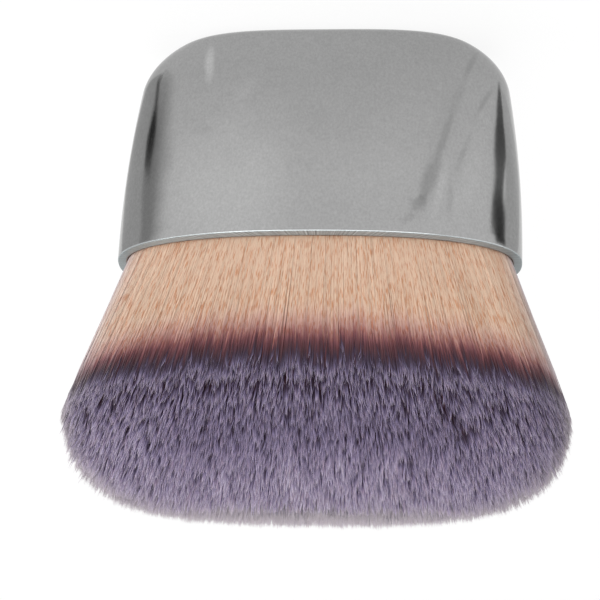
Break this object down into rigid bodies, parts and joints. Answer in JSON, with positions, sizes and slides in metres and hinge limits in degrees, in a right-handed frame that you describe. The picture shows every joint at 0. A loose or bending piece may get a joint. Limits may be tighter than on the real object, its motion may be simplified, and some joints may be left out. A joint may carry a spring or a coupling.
{
  "type": "body brush",
  "caption": "Palm body brush: a flat oval metal cap that stands on its closed end and holds a flared, domed head of soft filaments.",
  "frame": {"origin": "centre of the cap's flat closed end, on which the brush stands", "axes": "+Z from the closed end of the cap towards the filament tips, X across the width, front face towards -Y"},
  "size_m": [0.0831, 0.0373, 0.0927],
  "materials": {
    "cap_metal": "satin, grey, polished to a soft reflection",
    "core_plastic": "as moulded",
    "cup_metal": "as pressed",
    "filament": "soft filaments, peach at the root, wine and purple-grey in bands, pale at the tips"
  },
  "bodies": {
    "root": {"outer_shell": "cap_metal", "core_block": "core_plastic", "knot_cup": "cup_metal", "bristle_slice_1": "filament", "bristle_slice_2": "filament", "bristle_slice_3": "filament", "bristle_slice_4": "filament", "bristle_slice_5": "filament", "bristle_slice_6": "filament", "bristle_slice_7": "filament", "bristle_slice_8": "filament"}
  },
  "joints": []
}
